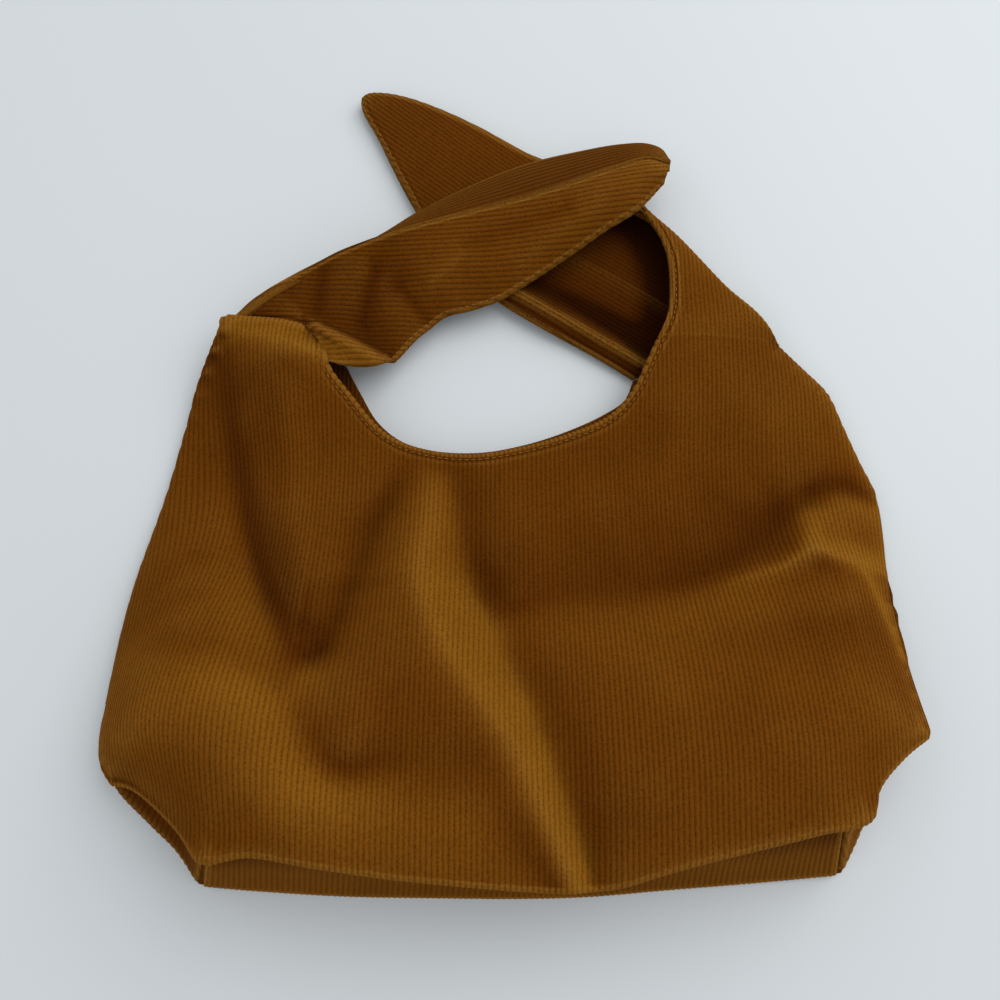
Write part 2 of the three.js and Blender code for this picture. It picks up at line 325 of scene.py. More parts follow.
def curve(points, count):
    """Even steps along a smooth line through the given points."""
    knots = np.array(points, float)
    spans = np.linalg.norm(np.diff(knots, axis=0), axis=1) ** 0.5
    at = np.concatenate([[0], np.cumsum(spans)])
    slope = np.gradient(knots, at, axis=0)
    fine = np.linspace(0, at[-1], 20 * len(knots))
    k = np.clip(np.searchsorted(at, fine, side="right") - 1, 0, len(spans) - 1)
    h = (at[k + 1] - at[k])[:, None]
    t = (fine - at[k])[:, None] / h
    line = (1 + 2 * t) * (1 - t) ** 2 * knots[k] + t * (1 - t) ** 2 * h * slope[k]
    line += t * t * (3 - 2 * t) * knots[k + 1] + t * t * (t - 1) * h * slope[k + 1]
    gone = np.concatenate([[0], np.cumsum(np.linalg.norm(np.diff(line, axis=0), axis=1))])
    even = np.linspace(0, gone[-1], count)
    return np.stack([np.interp(even, gone, line[:, c]) for c in range(knots.shape[1])], axis=1)


side_x = 184
base_line = -205
layer_gap = 0.3
doubled = 2 * cloth_thickness + layer_gap
seam_height = doubled + layer_gap + doubled
edge_inset = 3

left_seam = np.array([
    (-side_x + inset, base_line + up, seam_height + lift) for inset, up, lift in (
        (10, 46, 8), (4, 53, 7), (1, 61, 6), (0, 78, 2), (2, 108, 0), (7, 138, 0), (18, 181, 0),
        (25, 214, 1), (34, 246, 6), (45, 266, 18))])
right_seam = np.array([
    (side_x - inset, base_line + up, seam_height + lift) for inset, up, lift in (
        (0, 67, 24), (1.5, 90, 14), (2.5, 110, 7), (2.8, 130, 2), (2.5, 147, 0), (4, 183, 0),
        (9, 196, 0), (16, 216, 0), (23, 235, 0), (34, 247, 1), (46, 259, 2))])
left_foot = [(-side_x + inset, base_line + up) for inset, up in (
    (1.5, 62), (3, 54), (7, 45), (24, 29), (37, 17.5), (48, 3.2))]
base_foot = [(x, base_line + up) for x, up in (
    (-136, 3.2), (-111, 1.2), (-72, -1), (-33, -1.7), (6, -2), (36, -1.2), (70, 1.5), (111, 4.6),
    (148, 7.8))]
right_foot = [(side_x - inset, base_line + up) for inset, up in (
    (36, 7.8), (26, 25), (16, 46), (9, 66), (7, 90), (8, 108))]
back_neck = [
    (-81, 46), (-73, 31), (-64, 16), (-52, 6), (-36, 1), (-13, 0), (9, 4), (30, 11), (49, 20), (60, 28),
    (64, 38)]


def read_y(line, x):
    """Where a line in plan lies at any x."""
    line = np.array(line, float)
    line = line[np.argsort(line[:, 0], kind="stable")]
    return np.interp(x, line[:, 0], line[:, 1])


back_low = np.concatenate([curve(left_foot, 30), curve(base_foot, 60), curve(right_foot, 30)])
back_high = np.concatenate([
    curve(left_seam[3:, :2], 40), curve(back_neck, 60), curve(right_seam[3:, :2], 40)])
back_columns = np.arange(-82 * rib_steps, 81 * rib_steps + 1) * wale_pitch / rib_steps
back_columns = np.clip(back_columns, -side_x + edge_inset + 1, side_x - edge_inset - 3)
back_shares = np.linspace(0, 1, 41)[:, None]


def ramp(value, low, high):
    """Nought below the low value, one above the high value and a soft rise between them."""
    t = np.clip((value - low) / (high - low), 0, 1)
    return t * t * (3 - 2 * t)


def back_face(height, inset):
    """Flat on the table, and drawn up to the side seam at the left shoulder."""
    low = read_y(back_low, back_columns) + inset
    high = read_y(back_high, back_columns) - inset
    x = np.repeat(back_columns[None], len(back_shares), axis=0)
    y = low + (high - low) * back_shares
    from_seam = x - np.interp(y, left_seam[3:, 1], left_seam[3:, 0])
    drawn_up = np.interp(y, (0, 9, 41, 61), (0, 1, 5, 15)) * (1 - ramp(from_seam, 2, 28))
    return np.stack([x, y, height + drawn_up], axis=2)


back_wale = np.repeat(back_columns[None] / wale_pitch, len(back_shares), axis=0)
back_panel = add_cloth("back_panel", back_face(cloth_thickness, 1), back_wale, outer_cloth)
back_lining = add_cloth(
    "back_lining", back_face(doubled, 1), back_wale, lining_cloth, cloth_thickness - 0.1)
for piece, node, slot in (
    (back_panel, "outer_back_panel", "corduroy"), (back_lining, "lining_back_panel", "lining_corduroy")):
    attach(piece, "bag")
    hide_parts(node)

# Front panel and its lining: the large corduroy cut that slumps over the empty bag, sewn in at its sides
# and hemmed at the neck. It is lofted from its two side seams, the lower fold and the neck, and the
# sags and creases of the cloth are laid on it one by one.
base_height = 58
neck_lift = 14
roll_width = 45
roll_power = 2.2
fold_radius = 3
seam_round = 3.5
seam_foot = 3.2
crease_power = 1.5
neck_roll = 1.8
crest_roll = 4.5
stitch_inset = 3.4
stitch_dip = 0.35
stitch_dip_width = 1.1
roll_rows = 8
hem_rows = 4
slack_height = 0.22
# Lighter colour along the lower fold edge, partly worn pile and partly a painted highlight.
edge_rub_highlight = 0.15
edge_rub_highlight_reach = 8
# Painted light and shade on the front panel: its limits, and how much lighter the folds are painted where
# they face the light.
least_lean = -0.75
most_lean = 0.95
lean_across = 0.35
lean_along = 1.1
hinge_y = 54.7
grain_swing = 0.26
left_fold = [left_seam[0]] + [
    (-side_x + inset, base_line + up, share * base_height) for inset, up, share in (
        (20, 45, 0.36), (34, 38, 0.54), (49, 27.5, 0.74), (60, 17.5, 0.92), (66, 16.5, 0.97))]
right_fold = [
    (side_x - inset, base_line + up, share * base_height) for inset, up, share in (
        (57, 28.5, 0.98), (44, 30.5, 0.96), (36, 34, 0.91), (31, 45, 0.83), (16, 58, 0.69))]
right_fold += [right_seam[0]]
base_fold = [left_fold[-1][:2]] + [(x, base_line + up) for x, up in (
    (-103, 19.5), (-75, 15.5), (-47, 11.5), (-18, 8.5), (5, 6.5), (31, 5.5), (44, 7), (62, 12.5),
    (80, 17.5), (97, 21.5))]
base_fold += [right_fold[0][:2]]
shoulder_ridge = [(-139, 61), (-107, 57), (-91, 51)]
front_neck = [
    (-91, 51), (-87, 36), (-77, 23), (-63, 7), (-52, 0), (-36, -4.5), (-13, -6.3), (9, -2.5), (32, 4.2),
    (52, 13.5), (63, 25.5), (69.8, 39), (76.8, hinge_y)]
straight_right_seam = [(184, -138), (183.5, -105), (183, -80), (182.2, -58)]
straight_right_seam += [tuple(place[:2]) for place in right_seam[5:]]
crown_marks = [(base_line + up, share * base_height) for up, share in (
    (0, 0.86), (6, 0.92), (16, 0.98), (28, 1.01), (41, 1.02), (61, 0.95), (86, 0.79), (116, 0.57),
    (146, 0.42))]
crown_marks += [(y, neck_lift + up) for y, up in ((-35, 5), (-5, 0), (25, 4), (70, 8), (90, 8))]

# Each fold is a line of places, with a height and a width to the left and to the right of it.
front_folds = [
    [(-143, 36, -3, 9, 22), (-136, 2, -5, 9, 24), (-125, -38, -7, 9, 24), (-112, -72, -9, 10, 22),
     (-101, -93, -8, 11, 18), (-92, -105, -4, 11, 14)],
    [(-92, -108, -4, 12, 14), (-84, -105, -8, 13, 15), (-77, -93, -9, 13, 15), (-73, -80, -9, 13, 15),
     (-68, -64, -8, 12, 14), (-62, -44, -6, 11, 13), (-55, -28, -4, 9, 11), (-47, -12, -1, 7, 9)],
    [(-108, 25, 2, 14, 18), (-102, -10, 3, 14, 18), (-96, -45, 2, 12, 15), (-90, -66, 1, 11, 11)],
    [(-34, -14, 0, 8, 10), (-37, -45, 5, 9, 16), (-40, -70, 9, 12, 22), (-32, -95, 11, 15, 30),
     (-15, -120, 9, 13, 30), (-1, -137, 8, 11, 24), (13, -163, 6.5, 9, 16), (22.5, -185, 5, 7, 9),
     (29.5, -203, 3, 5, 5)],
    [(-26, -16, -2, 12, 8), (-22, -31, -4, 13, 9), (-19, -49, -5, 13, 10), (-12, -76, -6, 13, 10),
     (-6, -85, -4, 12, 10)],
    [(-3, -84, -4, 20, 26), (24, -80, -5, 22, 28), (60, -77, -6, 24, 28), (88, -69, -7, 24, 24),
     (108, -58, -8, 22, 18), (123, -47, -8, 18, 12), (134, -36, -6, 13, 10), (144, -29, -4, 9, 9)],
    [(100, -70, 0.5, 4, 14), (113, -65.5, 1.5, 4, 14), (125, -62, 2.5, 4, 14), (134, -57.5, 3.5, 4, 12),
     (141, -53, 4.5, 4, 11), (154, -57, 4, 4, 10), (170, -60, 3.5, 4, 9), (181, -62, 3, 4, 9)],
    [(138, -34, 1, 6, 7), (141, -50, 2, 6, 8)],
    [(148, -28, -2, 7, 7), (160, -23, -3, 7, 7), (176, -28, -3, 6, 6)],
    [(160, -58, 1, 4, 18), (168, -71, 3.5, 4, 18), (174, -87, 4, 4, 16), (179, -104, 3, 4, 14)],
    [(3, -106, -5, 16, 11), (13, -130, -6, 18, 12), (22, -156, -7, 17, 11), (30, -178, -7, 14, 8),
     (33.5, -195, -6, 10, 5), (34, -206, -5, 7, 4)],
    [(0, -95, -2, 45, 30), (12, -130, -3, 55, 30), (26, -178, -4, 60, 30), (33, -206, -4, 60, 30)],
    [(-120, -140, 3, 30, 30), (-90, -175, 4, 30, 30)],
    [(-176, -99, -2, 14, 18), (-134, -104, -3, 14, 20), (-106, -115, -4, 13, 18),
     (-88, -132, -4, 12, 16), (-78, -148, -5, 11, 13), (-68, -155, -5, 10, 12), (-54, -153, -3, 10, 12),
     (-38, -148, -0.5, 10, 12)],
    [(-165, -77, -1.6, 7, 9), (-146, -59, -1.6, 7, 9)],
    [(-166, -90, -1.6, 7, 9), (-145, -78, -1.6, 7, 9)],
    [(112, -88, 2, 18, 18), (150, -80, 3, 18, 18)],
    [(-142, 53, 7, 12, 30), (-115, 49, 9, 12, 34), (-97, 41, 9, 11, 30)],
    [(-92, 44, 1.5, 5, 8), (-110, 41, 1.5, 5, 8), (-125, 35, 0.5, 6, 8)],
]
# Painted light and shade is laid out in the same way, with how much lighter or darker the cloth is
# painted in place of a height.
painted_shading_strokes = [
    [(-93, -106, -0.7, 11, 9), (-86, -103, -0.7, 12, 10), (-80, -93, -0.5, 11, 9),
     (-75, -78, -0.35, 11, 8), (-70, -58, -0.25, 11, 7), (-60, -34, -0.2, 9, 6)],
    [(-137, -5, -0.12, 8, 12), (-127, -38, -0.12, 8, 12)],
    [(-150, 8, -0.12, 8, 8), (-145, -25, -0.15, 9, 9), (-136, -55, -0.12, 9, 9)],
    [(-36, -25, 0.12, 8, 8), (-43, -60, 0.3, 11, 15), (-49, -90, 0.38, 18, 20),
     (-24, -115, 0.3, 14, 18), (-2, -140, 0.3, 8, 12), (11, -166, 0.32, 5, 8), (21, -185, 0.34, 4, 5),
     (28, -200, 0.3, 3, 3)],
    [(-24, -134, -0.08, 8, 8), (-8, -152, -0.16, 8, 8), (5, -170, -0.18, 7, 7), (16, -188, -0.18, 5, 5),
     (23, -199, -0.12, 4, 4)],
    [(150, 43, 0.8, 4, 4), (161, 30, 0.8, 4, 4), (168, 11, 0.9, 4, 4), (175, -9, 0.9, 4, 4),
     (180, -22, 0.8, 4, 4), (181, -58, 0.6, 4, 4)],
    [(-160, -135, 0.1, 14, 14), (-130, -118, 0.16, 18, 18), (-104, -128, 0.2, 12, 18),
     (-84, -162, 0.2, 10, 18), (-45, -172, 0.35, 16, 16), (-20, -172, 0.35, 16, 14),
     (0, -180, 0.2, 14, 14)],
    [(-42, -140, 0.12, 16, 16), (-12, -162, 0.18, 14, 14)],
    [(60, -76, -0.15, 16, 8), (90, -70, -0.6, 12, 4), (106, -64.5, -1.1, 11, 3.5),
     (118, -60.5, -1.3, 10, 3.5), (127, -56, -1.3, 9, 3.5), (134, -50, -1.1, 9, 3.5),
     (137, -40, -0.6, 9, 3.5)],
    [(104, -68.5, 0.2, 2.5, 4), (125, -62.5, 0.45, 2.5, 4), (134, -58, 0.5, 2.5, 4),
     (141, -53.5, 0.55, 2.5, 4), (154, -57.5, 0.55, 2.5, 4), (170, -60.5, 0.5, 2.5, 4),
     (181, -62.5, 0.4, 2.5, 4)],
    [(30, -40, -0.12, 22, 22), (70, -34, -0.18, 24, 24), (105, -22, -0.12, 18, 18)],
    [(70, -160, -0.08, 24, 24), (120, -152, -0.12, 24, 24)],
    [(-158, -10, -0.1, 10, 10), (-150, -22, -0.12, 10, 10)],
    [(118, -112, 0.1, 26, 26), (150, -114, 0.15, 24, 24)],
    [(146, -56, 0.12, 4, 10), (160, -57, 0.18, 4, 10), (178, -62, 0.22, 5, 10)],
    [(146, -42, 0.18, 8, 8), (160, -42, 0.18, 8, 8)],
    [(148, -22, -0.15, 9, 9), (160, -17, -0.2, 9, 9), (176, -25, -0.2, 7, 7)],
    [(115, 28, 0.12, 14, 14), (145, 8, 0.15, 14, 14)],
    [(160, -58, 0.3, 4, 4), (168, -71, 0.45, 4, 4), (174, -87, 0.45, 4, 5), (179, -104, 0.45, 4, 6),
     (182, -128, 0.35, 6, 6)],
    [(-135, 50, 0.22, 10, 16), (-110, 42, 0.28, 14, 22), (-98, 34, 0.25, 10, 18)],
    [(-128, 15, 0.1, 8, 8), (-118, -20, 0.1, 8, 8)],
    [(10, -20, -0.12, 14, 14), (40, -8, -0.15, 16, 16), (72, 14, -0.22, 14, 14)],
]
# Thin lines of painted highlight run along the sharpest crests.
crest_highlights = [
    [(96, -71, 0, 1.6, 1.6), (113, -66, 0.4, 1.6, 1.6), (125, -62.5, 0.6, 1.6, 1.6),
     (134, -58, 0.7, 1.6, 1.6), (141, -53.5, 0.8, 1.8, 1.8), (146, -54.5, 0.8, 1.8, 1.8),
     (154, -57.5, 0.7, 1.6, 1.6), (170, -60.5, 0.7, 1.6, 1.6), (181, -62.5, 0.6, 1.6, 1.6)],
    [(160, -58, 0, 1.6, 1.6), (168, -71, 0.6, 1.6, 1.6), (174, -87, 0.6, 1.8, 1.8),
     (179, -104, 0.5, 2, 2)],
]


def nearest_on(line, x, y):
    """Distance to a line in plan, the side of it, and the line's other values at the nearest place."""
    line = np.array(line, float)
    best = np.full(x.shape, np.inf)
    side = np.ones(x.shape)
    values = np.zeros(x.shape + (line.shape[1] - 2,))
    for a, b in zip(line[:-1], line[1:]):
        run = b[:2] - a[:2]
        t = np.clip(((x - a[0]) * run[0] + (y - a[1]) * run[1]) / (run @ run), 0, 1)
        dx = x - a[0] - t * run[0]
        dy = y - a[1] - t * run[1]
        away = np.hypot(dx, dy)
        near = away < best
        best = np.where(near, away, best)
        across = (run[0] * dy - run[1] * dx) / (np.hypot(*run) * np.maximum(away, 1e-6))
        side = np.where(near, across, side)
        values = np.where(near[..., None], a[2:] + t[..., None] * (b[2:] - a[2:]), values)
    return best, side, values


def fold_height(folds, x, y):
    total = np.zeros(x.shape)
    for line in folds:
        away, side, values = nearest_on(curve(line, 24), x, y)
        width = values[..., 2] + (values[..., 1] - values[..., 2]) * (side + 1) / 2
        total += values[..., 0] * np.exp(-(away / width) ** crease_power)
    return total


def slack(x, y):
    """Small rises and dips of loose cloth."""
    waves = (
        (0.061, 0.083, 0.4), (-0.097, 0.052, 1.9), (0.134, 0.031, 2.6), (0.043, -0.149, 0.9),
        (0.171, 0.118, 4.1))
    return sum(slack_height * np.sin(along * x + up * y + turn) for along, up, turn in waves)


left_rim = np.concatenate([curve(left_seam, 40)[::-1], curve(left_fold, 30)[1:]])
right_rim = np.concatenate([curve(right_fold, 30), curve(right_seam, 40)[1:]])
crown_line = curve(crown_marks, 160)
cell = 2
cell_x = np.arange(-198, 199, cell)
cell_y = np.arange(-222, 175, cell)
cell_places = np.meshgrid(cell_x, cell_y)


def soft_read(cells, x, y):
    """Height at any place from a grid of heights, with the sharp lines between them smoothed away."""
    u = np.clip((x - cell_x[0]) / cell, 1, len(cell_x) - 3.01)
    v = np.clip((y - cell_y[0]) / cell, 1, len(cell_y) - 3.01)
    i = u.astype(int)
    j = v.astype(int)
    shares = []
    for f in (u - i, v - j):
        shares.append(((1 - f) ** 3, 3 * f ** 3 - 6 * f * f + 4, 3 * (f + f * f - f ** 3) + 1, f ** 3))
    total = np.zeros(x.shape)
    for column in range(4):
        for row in range(4):
            total += shares[0][column] * shares[1][row] * cells[j + row - 1, i + column - 1]
    return total / 36


def rim_height(x, y):
    """Height of the seams and folds round the panel, weighed by how near they are."""
    total = np.zeros(x.shape)
    weights = np.zeros(x.shape)
    for place in np.concatenate([left_rim[::2], right_rim[::2]]):
        weight = 1 / ((x - place[0]) ** 2 + (y - place[1]) ** 2 + 9) ** 2.5
        total += weight * place[2]
        weights += weight
    return total / weights


def rim_distance(x, y):
    """Distance in plan to the nearer rim of the panel, and that rim's height there."""
    left_away, _, left_z = nearest_on(left_rim, x, y)
    right_away, _, right_z = nearest_on(right_rim, x, y)
    nearer_z = np.where(left_away < right_away, left_z[..., 0], right_z[..., 0])
    return np.minimum(left_away, right_away), nearer_z


def loft_height(x, y):
    """Height of the panel without its folds, from its seams up to its crown."""
    away, nearest_rim = rim_distance(x, y)
    rim = nearest_rim + (rim_height(x, y) - nearest_rim) * np.clip(away / 8, 0, 1)
    crown = np.interp(y, crown_line[:, 0], crown_line[:, 1]) + slack(x, y)
    rise = 1 - (1 - np.clip(away / roll_width, 0, 1)) ** roll_power
    return rim + (crown - rim) * rise, rise, rim


def evened(cells, times):
    """Grid of heights with each cell drawn towards its neighbours."""
    for _ in range(times):
        wide = np.pad(cells, 1, mode="edge")
        cells = (wide[1:-1, :-2] + 2 * wide[1:-1, 1:-1] + wide[1:-1, 2:]) / 4
        wide = np.pad(cells, 1, mode="edge")
        cells = (wide[:-2, 1:-1] + 2 * wide[1:-1, 1:-1] + wide[2:, 1:-1]) / 4
    return cells


loft_cells = evened(loft_height(*cell_places)[0], 13)
fold_cells = evened(fold_height(front_folds, *cell_places), 4)
painted_shading_cells = evened(fold_height(painted_shading_strokes, *cell_places), 3)


def front_height(x, y):
    """Top of the front panel: from its seams up to its crown, with the folds on it."""
    away, _ = rim_distance(x, y)
    loft, rise, rim = loft_height(x, y)
    loft = loft + (soft_read(loft_cells, x, y) - loft) * ramp(away, 3, 14)
    height = np.maximum(loft + soft_read(fold_cells, x, y) * rise, seam_height)
    lap = np.clip(1 - away / seam_round, 0, 1)
    sewn = np.clip((9 - rim) / 3, 0, 1)
    return height - sewn * (rim - seam_foot) * (1 - np.sqrt(1 - lap ** 2))


def painted_front_shading(x, y):
    """Painted light and shade on the panel: lighter where the folds face the straps and the light beyond
    them, darker where they face away, with the painted strokes added.
    """
    across = soft_read(fold_cells, x - 1, y) - soft_read(fold_cells, x + 1, y)
    along = soft_read(fold_cells, x, y - 1) - soft_read(fold_cells, x, y + 1)
    lean = lean_across * across + lean_along * along + soft_read(painted_shading_cells, x, y)
    return np.clip(lean, least_lean, most_lean)


front_low = np.concatenate([
    curve(left_seam[:4, :2], 20)[::-1], curve(np.array(left_fold)[:, :2], 30),
    curve(base_fold, 80), curve(np.array(right_fold)[:, :2], 30)])
front_high = np.concatenate([
    curve(left_seam[3:, :2], 60), curve(shoulder_ridge, 30), curve(front_neck, 120),
    [(76.8, hinge_y), (137, hinge_y)], curve(straight_right_seam[::-1], 60)])
front_ribs = np.arange(-83 * rib_steps, 81 * rib_steps + 1) * wale_pitch / rib_steps
front_columns = np.concatenate([front_ribs, np.linspace(179.5, 183.4, 27)])
straight = np.array(straight_right_seam)
real_right = np.interp(straight[:, 1], right_seam[:, 1], right_seam[:, 0])
body_shares = np.interp(np.linspace(0, 1, 86), (0, 0.333, 0.746, 1), (0, 0.42, 0.68, 1))
fold_turns = np.radians(np.linspace(150, 12, roll_rows))[:, None]
neck_turns = np.radians([30, 55, 80, 105])[:, None]


def front_face():
    """Points of the panel's upper face, from under the lower fold up to the turned hem."""
    low = read_y(front_low, front_columns)
    high = read_y(front_high, front_columns)
    radius = np.clip((high - low) / 8, 0.3, fold_radius)
    hem = np.minimum(10, (high - low) / 4)
    body = low + radius + (high - low - radius - hem) * body_shares[:, None]
    edge = high - hem + hem * np.linspace(0, 1, 12)[1:, None]
    y = np.concatenate([body, edge])
    p = np.repeat(front_columns[None], len(y), axis=0)
    nip = np.interp(y, straight[:, 1], straight[:, 0] - real_right)
    x = p - nip * np.clip((p - 130) / 54, 0, 1)
    inside = ramp(rim_distance(x, y)[0], 0, 22) * ramp(y, low, low + 40)
    swing = np.exp(-((x + 132) / 42) ** 2) - 0.45 * np.exp(-((x - 118) / 50) ** 2)
    x = x + grain_swing * inside * swing * (y + 75) * np.exp(-((y + 75) / 60) ** 2)
    away, _, _ = nearest_on(curve(front_neck, 60), x, y)
    dip = np.exp(-((away - stitch_inset + neck_roll) / stitch_dip_width) ** 2)
    z = front_height(x, y) - stitch_dip * dip
    roll_y = y[0] - radius * np.sin(fold_turns)
    roll_z = np.maximum(z[0] - radius * (1 - np.cos(fold_turns)), 0.6)
    rolled = np.stack([np.repeat(x[:1], roll_rows, axis=0), roll_y, roll_z], axis=2)
    rising_x = np.gradient(x[-1])
    rising_y = np.gradient(y[-1])
    length = np.hypot(rising_x, rising_y)
    round_off = np.interp(
        front_columns, (-141, -137, -95, -88, 75, 77),
        (0.4, crest_roll, crest_roll, neck_roll, neck_roll, 0.4))
    hem_x = x[-1] - rising_y / length * round_off * np.sin(neck_turns)
    hem_y = y[-1] + rising_x / length * round_off * np.sin(neck_turns)
    hem_z = z[-1] - round_off * (1 - np.cos(neck_turns))
    hemmed = np.stack([hem_x, hem_y, hem_z], axis=2)
    return np.concatenate([rolled, np.stack([x, y, z], axis=2), hemmed])


front = front_face()
front_wale = np.repeat(front_columns[None] / wale_pitch, len(front), axis=0)
# Painted light and shade of the front panel, with painted highlights along the sharpest crests.
front_lean = painted_front_shading(front[..., 0], front[..., 1])
front_lean = np.minimum(front_lean + fold_height(crest_highlights, front[..., 0], front[..., 1]), most_lean)
from_fold = np.maximum(front[..., 1] - front[roll_rows, :, 1], 0)
front_bend = face_bend(front, face_normals(front))
front_bend[-2 * hem_rows:, front_columns > 76] = 0
# The lower fold edge is painted lighter: partly worn pile, partly a painted highlight.
front_bend = np.minimum(front_bend + edge_rub_highlight * np.exp(-from_fold / edge_rub_highlight_reach), 1)
front_panel = add_cloth(
    "front_panel", front, front_wale, outer_cloth, skip=(4, 1), lean=front_lean, bend=front_bend)
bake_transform(front_panel)
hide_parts("outer_front_panel")

lining_slack = 0.6
inside_seams = (slice(roll_rows, -hem_rows), slice(8, -26))
inner_front = front[inside_seams]
from_lining = face_normals(inner_front) + (0, 0, 1)
from_lining /= np.linalg.norm(from_lining, axis=2, keepdims=True)
front_lining_face = (inner_front - from_lining * (doubled + lining_slack))[::2, ::2][:, ::-1]
front_lining_wale = front_wale[inside_seams][::2, ::2][:, ::-1]
front_lining = add_cloth(
    "front_lining", front_lining_face, front_lining_wale, lining_cloth, 0.9, skip=(1, 1))
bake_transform(front_lining)
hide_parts("lining_front_panel")

# Base and gussets, each with its lining: the corduroy strip that is folded down from the front panel
# to the table, and the boxed corner at each end of it, tucked in where its seam meets the side seam.
foot_radius = 3
wall_rows = 24
wall_inset = 4
wall_drop = 6.5
base_ribs = 118
gusset_tuck = 13
seam_groove = 3
base_tuck = 5


def wall_face(foot, fold, tuck, facing, seams):
    """Standing wall from a foot line on the table up to a fold line under the front panel."""
    foot = np.array(foot)
    along = np.linspace(0, 1, len(foot))
    turn = np.radians(np.interp(along, *facing))
    inward = np.stack([np.cos(turn), np.sin(turn)], axis=1)
    top = np.array(fold)[:, :2] + inward * wall_inset
    top_z = np.maximum(front_height(top[:, 0], top[:, 1]) - wall_drop, foot_radius + 1)
    share = np.linspace(0, 1, wall_rows - 3)[:, None]
    hollow = tuck * np.sin(np.pi * share) * np.sin(np.pi * along)
    for seam in seams:
        away = np.linalg.norm(foot - foot[seam], axis=1)
        hollow = hollow + seam_groove * np.exp(-(away / 1.6) ** 2)
    plan = foot + (top - foot) * share[..., None] + hollow[..., None] * inward
    z = foot_radius + (top_z - foot_radius) * share
    wall = np.concatenate([plan, z[..., None]], axis=2)
    bend = np.radians(np.linspace(80, 20, 4))[:, None]
    under = plan[0] + (foot_radius * (1 - np.cos(bend)))[..., None] * inward
    under_z = np.repeat(foot_radius * (1 - np.sin(bend)) + 0.2, len(foot), axis=1)
    return np.concatenate([np.concatenate([under, under_z[..., None]], axis=2), wall])


def add_lining(name, face, wale, material, thickness, skip):
    """Second layer of cloth behind a face, looking the other way."""
    behind = face - face_normals(face) * doubled
    return add_cloth(name, behind[::2, ::2][:, ::-1], wale[::2, ::2][:, ::-1], material, thickness, skip)


base_columns = rib_steps * base_ribs + 1
base_fold_line = curve([left_fold[-2][:2]] + base_fold[1:] + [right_fold[1][:2]], base_columns)
base_foot_line = curve(base_foot, base_columns)
base_facing = ((0, 0.06, 0.94, 1), (67.5, 90, 90, 121))
base_face = wall_face(base_foot_line, base_fold_line, base_tuck, base_facing, (0, -1))
base_wale = np.repeat(np.linspace(0, base_ribs, base_columns)[None], len(base_face), axis=0)
# Painted shadow: the base is painted darker towards its top, under the fold of the front panel.
base_lean = 0.1 - 1.1 * ramp(np.linspace(0, 1, len(base_face)), 0.45, 0.85)[:, None]

gusset_columns = rib_steps * 30 + 1
left_foot_line = curve([(-181, -95), (-182, -122)] + left_foot, gusset_columns)
left_edge = [place[:2] for place in left_seam[4:0:-1]] + [place[:2] for place in left_fold[:-1]]
left_top_line = curve(left_edge, gusset_columns)
left_facing = ((0, 0.8, 1), (45, 45, 67.5))
left_gusset_face = wall_face(left_foot_line, left_top_line, gusset_tuck, left_facing, (-1,))
right_foot_line = curve(right_foot + [(175.5, -75), (175.5, -57)], gusset_columns)
right_edge = [place[:2] for place in right_fold[1:]] + [place[:2] for place in right_seam[1:5]]
right_top_line = curve(right_edge, gusset_columns)
right_facing = ((0, 0.2, 1), (121, 151, 151))
right_gusset_face = wall_face(right_foot_line, right_top_line, gusset_tuck, right_facing, (0,))
gusset_wale = np.linspace(0, 40, gusset_columns)[None] + np.linspace(0, 5, wall_rows + 1)[:, None]

# The last value is painted light and shade: the base's painted shadow and painted shade on the gussets
# inside their folds.
for name, face, wale, flat, lean in (
    ("base", base_face, base_wale, (0.285, 0.054), base_lean),
    ("left_gusset", left_gusset_face, gusset_wale, (0.08, 0.038), -0.55),
    ("right_gusset", right_gusset_face, gusset_wale, (0.115, 0.038), -0.35),
):
    outside = add_cloth(name, face, wale, outer_cloth, lean=lean)
    inside = add_lining(name + "_inside", face[4:-1], wale[4:-1], lining_cloth, cloth_thickness, (2, 2))
    for piece, kind, slot in ((outside, "outer_", "corduroy"), (inside, "lining_", "lining_corduroy")):
        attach(piece, "bag")
        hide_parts(kind + name)

# Right strap: the front panel's own cloth running on past the shoulder, folded round to its centre
# seam and back. It turns left under the other strap, and its rounded tail lies free on the table.
strap_roll = 2
outer_roll = 5
tail_roll = 3
behind_thickness = 1
inside_ribs = 0.25
right_rows = 433
right_columns = 109
right_neck = [
    (74, hinge_y - 3, 17.4), (80, 66, 18.1), (82, 82, 19.9), (81, 98, 21.1), (76, 113, 20.5),
    (68, 125, 18.7), (50, 134, 14), (10, 130, 9.7), (-24, 122, 7.5), (-42, 123, 7), (-48, 134, 6.8),
    (-60, 158, 6.5), (-71, 180, 6.2), (-77.3, 192, 6.1), (-79, 199, 6)]
right_out = [
    (139, hinge_y - 3, 11), (126, 70, 12), (107, 92, 12.5), (92, 110, 12), (80, 124, 11.5),
    (70, 136, 11), (48, 151, 10), (15, 165, 9), (-12, 182, 8.5), (-32, 193, 8.2), (-52, 201.5, 8),
    (-66, 204.5, 8), (-74, 204.2, 7.5), (-78, 201.5, 6)]
right_back = [
    (64, 37, 3.4), (50, 46, 4.4), (35, 55, 4.9), (17, 65, 6.9), (-4, 79, 6.9), (-20, 95, 4.9),
    (-35, 115, 3.3), (-49, 136, 2.9), (-61, 160, 2.9), (-71, 182, 2.9), (-76.5, 192, 2.9),
    (-78, 198, 2.9)]
right_under = [
    (136, 52, 2.9), (126, 68, 2.9), (118, 80, 2.9), (100, 101, 2.9), (84, 119, 2.9), (60, 142, 2.9),
    (20, 161, 2.9), (-20, 185, 2.9), (-52, 200, 2.9), (-66, 202.5, 2.9), (-74, 202.3, 2.9),
    (-77, 200.3, 2.9)]
tail_grain = (0.629, 0.777)
inside_grain = (0.53, 0.848)


